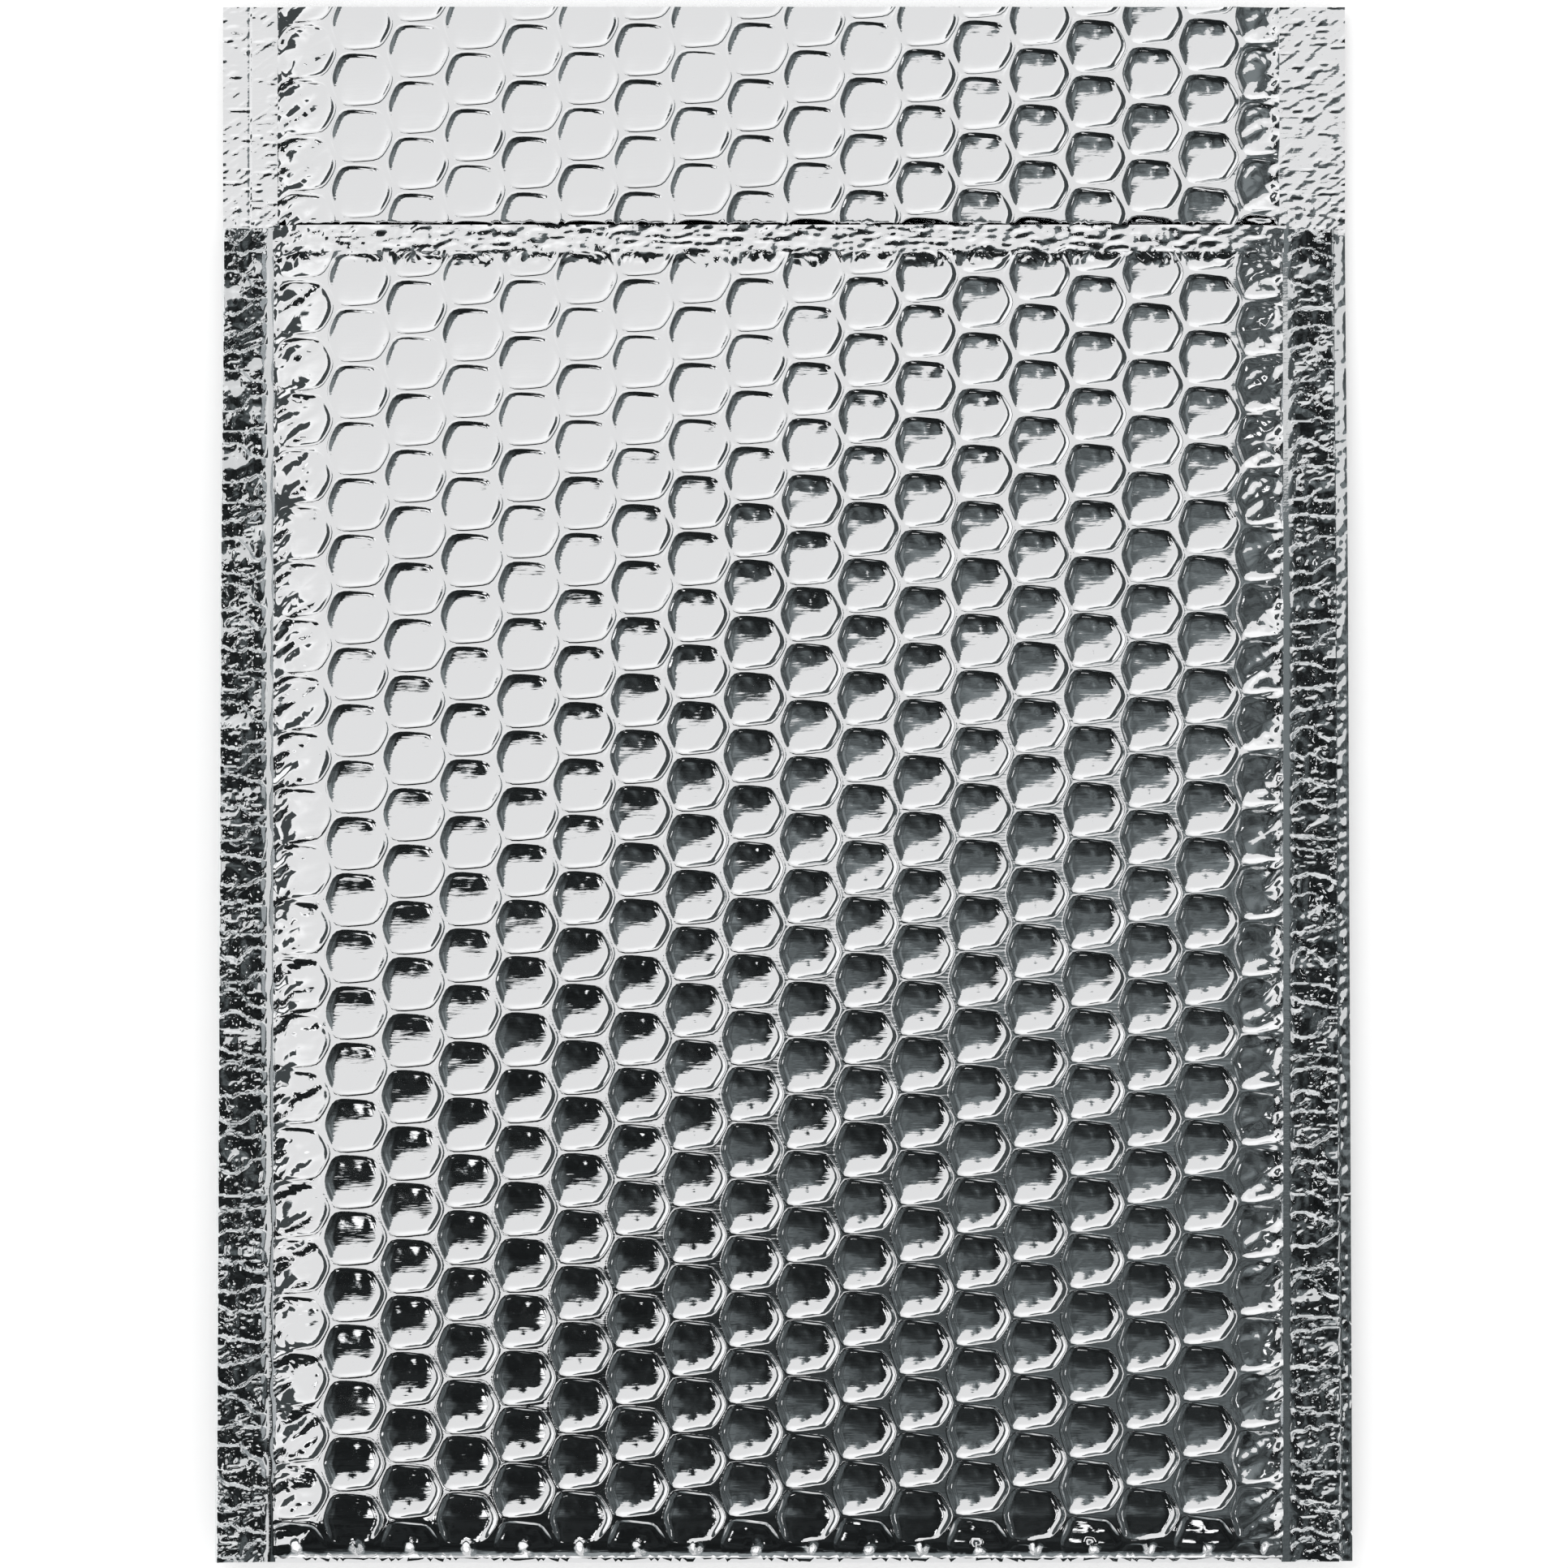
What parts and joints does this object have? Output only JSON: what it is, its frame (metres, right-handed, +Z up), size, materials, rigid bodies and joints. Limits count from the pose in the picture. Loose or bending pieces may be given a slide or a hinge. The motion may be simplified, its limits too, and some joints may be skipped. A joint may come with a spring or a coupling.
{
  "type": "metallised bubble mailer",
  "caption": "Flat metallised foil bubble mailer with welded sides, a folded bottom, an open mouth with a crushed hem, and a plain flap that folds over the mouth.",
  "frame": {"origin": "on the surface the mailer lies on, below the middle of its outline", "axes": "+Y along the mailer from the bottom fold to the flap's free edge, +Z up out of the front panel, +X across to the right as seen from above with the flap at the top"},
  "size_m": [0.2042, 0.2794, 0.0122],
  "materials": {
    "outer_foil": "mirror-bright vacuum-metallised film drawn over the bubbles",
    "inner_foil": "mirror-bright vacuum-metallised film, the flap's visible face",
    "bubble_film": "clear polythene bubble film, glossy",
    "weld": "heat-welded foil, finely crinkled and dark with sparkles",
    "hem": "crushed foil with crosswise wrinkles",
    "margin_foil": "bright flat foil with diagonal creases"
  },
  "bodies": {
    "pouch": {"front_outer_foil": "outer_foil", "front_bubble_film": "bubble_film", "front_inner_foil": "inner_foil", "back_inner_foil": "inner_foil", "back_bubble_film": "bubble_film", "back_outer_foil": "outer_foil", "left_side_weld": "weld", "right_side_weld": "weld", "bottom_fold": "outer_foil", "mouth_hem": "hem"},
    "crease_strip": {"crease_inner_foil": "inner_foil", "crease_bubble_film": "bubble_film", "crease_outer_foil": "outer_foil", "crease_left_margin": "margin_foil", "crease_right_margin": "margin_foil"},
    "flap": {"flap_inner_foil": "inner_foil", "flap_bubble_film": "bubble_film", "flap_outer_foil": "outer_foil", "flap_left_margin": "margin_foil", "flap_right_margin": "margin_foil"}
  },
  "joints": [
    {"name": "crease_fold", "type": "hinge", "parent": "pouch", "child": "crease_strip", "pos_m": [0, 0.1003, 0.00375], "axis": [1, 0, 0], "range_deg": [0, 90]},
    {"name": "flap_fold", "type": "hinge", "parent": "crease_strip", "child": "flap", "pos_m": [0, 0.109, 0.00375], "axis": [1, 0, 0], "range_deg": [0, 90]}
  ],
  "couplings": [
    {"joint": "flap_fold", "follows": "crease_fold", "ratio": 1}
  ]
}
